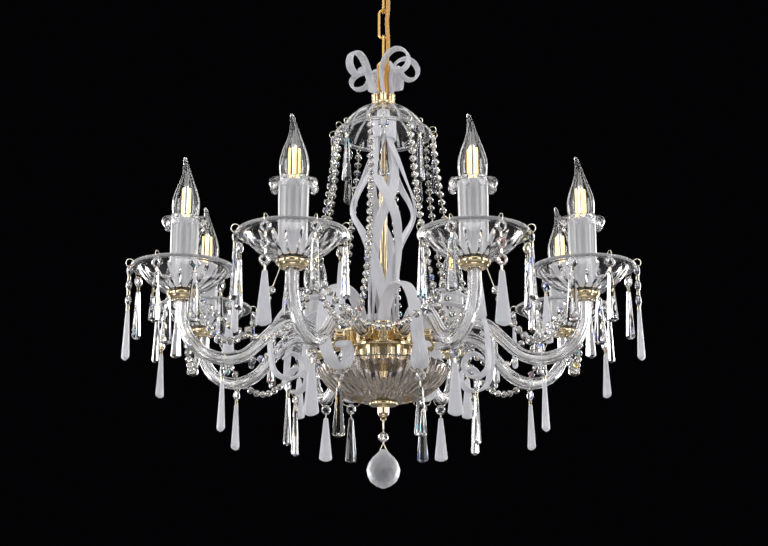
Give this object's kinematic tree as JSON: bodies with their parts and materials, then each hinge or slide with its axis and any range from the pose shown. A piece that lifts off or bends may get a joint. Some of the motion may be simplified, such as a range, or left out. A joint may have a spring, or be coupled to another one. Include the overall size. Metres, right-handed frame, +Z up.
{
  "type": "crystal chandelier",
  "caption": "Crystal chandelier with curved glass arms, candle bulbs on glass dishes, bead garlands, hanging prisms, frosted scrolls and a faceted ball, hung on a chain.",
  "frame": {"origin": "middle of the ceiling strap's top face, on the ceiling plane", "axes": "+Z up along the chain, -Y towards the front of the lamp, +X to the viewer's right"},
  "size_m": [0.6322, 0.6322, 0.7485],
  "materials": {
    "polished_brass": "polished",
    "gold_chain": "polished",
    "strap_steel": "zinc plated",
    "terminal_plastic": "moulded",
    "amber_cable": "clear amber sheath",
    "clear_crystal": "polished cut glass",
    "bead_crystal": "polished cut glass",
    "frosted_glass": "satin frosted",
    "bulb_glass": "clear blown glass",
    "white_sleeve": "glossy white",
    "holder_plastic": "moulded"
  },
  "bodies": {
    "ceiling": {"ceiling_plate": "strap_steel", "ceiling_hook": "polished_brass", "ceiling_canopy": "polished_brass", "canopy_screws": "polished_brass", "terminal_block": "terminal_plastic"},
    "top_link": {"chain_link_1": "gold_chain"},
    "chandelier": {"chain_link_2": "gold_chain", "chain_link_3": "gold_chain", "supply_cable": "amber_cable", "top_loop": "gold_chain", "finial_collar": "polished_brass", "finial_curls": "frosted_glass", "top_dome": "clear_crystal", "ribbon_holder": "frosted_glass", "center_stem": "polished_brass", "column_ribbons_outer": "frosted_glass", "column_ribbons_inner": "frosted_glass", "hub_plate": "polished_brass", "hub_drum": "polished_brass", "scroll_cups": "polished_brass", "frosted_scrolls": "frosted_glass", "arm_sockets": "polished_brass", "arm_ferrules": "polished_brass", "arm_1": "clear_crystal", "arm_2": "clear_crystal", "arm_3": "clear_crystal", "arm_4": "clear_crystal", "arm_5": "clear_crystal", "arm_6": "clear_crystal", "arm_7": "clear_crystal", "arm_8": "clear_crystal", "dish_cups": "polished_brass", "dishes": "clear_crystal", "candle_sleeves": "white_sleeve", "lampholders": "holder_plastic", "drip_rings": "clear_crystal", "bottom_bowl": "clear_crystal", "bottom_finial": "polished_brass", "swag_strands": "bead_crystal", "dome_strands": "bead_crystal", "drop_beads": "bead_crystal", "clear_prisms": "clear_crystal", "frosted_prisms": "frosted_glass"},
    "bulb_1": {"bulb_1": "bulb_glass"},
    "bulb_2": {"bulb_2": "bulb_glass"},
    "bulb_3": {"bulb_3": "bulb_glass"},
    "bulb_4": {"bulb_4": "bulb_glass"},
    "bulb_5": {"bulb_5": "bulb_glass"},
    "bulb_6": {"bulb_6": "bulb_glass"},
    "bulb_7": {"bulb_7": "bulb_glass"},
    "bulb_8": {"bulb_8": "bulb_glass"},
    "outer_drop_1": {"outer_drop_1": "frosted_glass"},
    "outer_drop_2": {"outer_drop_2": "frosted_glass"},
    "outer_drop_3": {"outer_drop_3": "frosted_glass"},
    "outer_drop_4": {"outer_drop_4": "frosted_glass"},
    "outer_drop_5": {"outer_drop_5": "frosted_glass"},
    "outer_drop_6": {"outer_drop_6": "frosted_glass"},
    "outer_drop_7": {"outer_drop_7": "frosted_glass"},
    "outer_drop_8": {"outer_drop_8": "frosted_glass"},
    "ball_drop": {"ball_drop": "frosted_glass"}
  },
  "joints": [
    {"name": "hook_swing", "type": "hinge", "parent": "ceiling", "child": "top_link", "pos_m": [0, 0, -0.048], "axis": [1, 0, 0], "range_deg": [-8, 8]},
    {"name": "chain_swing", "type": "hinge", "parent": "top_link", "child": "chandelier", "pos_m": [0, 0, -0.0874], "axis": [0, 1, 0], "range_deg": [-8, 8], "deforming": ["supply_cable"]},
    {"name": "bulb_1_out", "type": "slide", "parent": "chandelier", "child": "bulb_1", "axis": [0, 0, 1], "range_m": [0, 0.04]},
    {"name": "bulb_2_out", "type": "slide", "parent": "chandelier", "child": "bulb_2", "axis": [0, 0, 1], "range_m": [0, 0.04]},
    {"name": "bulb_3_out", "type": "slide", "parent": "chandelier", "child": "bulb_3", "axis": [0, 0, 1], "range_m": [0, 0.04]},
    {"name": "bulb_4_out", "type": "slide", "parent": "chandelier", "child": "bulb_4", "axis": [0, 0, 1], "range_m": [0, 0.04]},
    {"name": "bulb_5_out", "type": "slide", "parent": "chandelier", "child": "bulb_5", "axis": [0, 0, 1], "range_m": [0, 0.04]},
    {"name": "bulb_6_out", "type": "slide", "parent": "chandelier", "child": "bulb_6", "axis": [0, 0, 1], "range_m": [0, 0.04]},
    {"name": "bulb_7_out", "type": "slide", "parent": "chandelier", "child": "bulb_7", "axis": [0, 0, 1], "range_m": [0, 0.04]},
    {"name": "bulb_8_out", "type": "slide", "parent": "chandelier", "child": "bulb_8", "axis": [0, 0, 1], "range_m": [0, 0.04]},
    {"name": "outer_drop_1_swing", "type": "hinge", "parent": "chandelier", "child": "outer_drop_1", "pos_m": [0.1287, -0.3107, -0.4877], "axis": [0.9239, 0.3827, 0], "range_deg": [-15, 15]},
    {"name": "outer_drop_2_swing", "type": "hinge", "parent": "chandelier", "child": "outer_drop_2", "pos_m": [0.3107, -0.1287, -0.4877], "axis": [0.3827, 0.9239, 0], "range_deg": [-15, 15]},
    {"name": "outer_drop_3_swing", "type": "hinge", "parent": "chandelier", "child": "outer_drop_3", "pos_m": [0.3107, 0.1287, -0.4877], "axis": [-0.3827, 0.9239, 0], "range_deg": [-15, 15]},
    {"name": "outer_drop_4_swing", "type": "hinge", "parent": "chandelier", "child": "outer_drop_4", "pos_m": [0.1287, 0.3107, -0.4877], "axis": [-0.9239, 0.3827, 0], "range_deg": [-15, 15]},
    {"name": "outer_drop_5_swing", "type": "hinge", "parent": "chandelier", "child": "outer_drop_5", "pos_m": [-0.1287, 0.3107, -0.4877], "axis": [-0.9239, -0.3827, 0], "range_deg": [-15, 15]},
    {"name": "outer_drop_6_swing", "type": "hinge", "parent": "chandelier", "child": "outer_drop_6", "pos_m": [-0.3107, 0.1287, -0.4877], "axis": [-0.3827, -0.9239, 0], "range_deg": [-15, 15]},
    {"name": "outer_drop_7_swing", "type": "hinge", "parent": "chandelier", "child": "outer_drop_7", "pos_m": [-0.3107, -0.1287, -0.4877], "axis": [0.3827, -0.9239, 0], "range_deg": [-15, 15]},
    {"name": "outer_drop_8_swing", "type": "hinge", "parent": "chandelier", "child": "outer_drop_8", "pos_m": [-0.1287, -0.3107, -0.4877], "axis": [0.9239, -0.3827, 0], "range_deg": [-15, 15]},
    {"name": "ball_swing", "type": "hinge", "parent": "chandelier", "child": "ball_drop", "pos_m": [0, 0, -0.6623], "axis": [1, 0, 0], "range_deg": [-12, 12]}
  ]
}
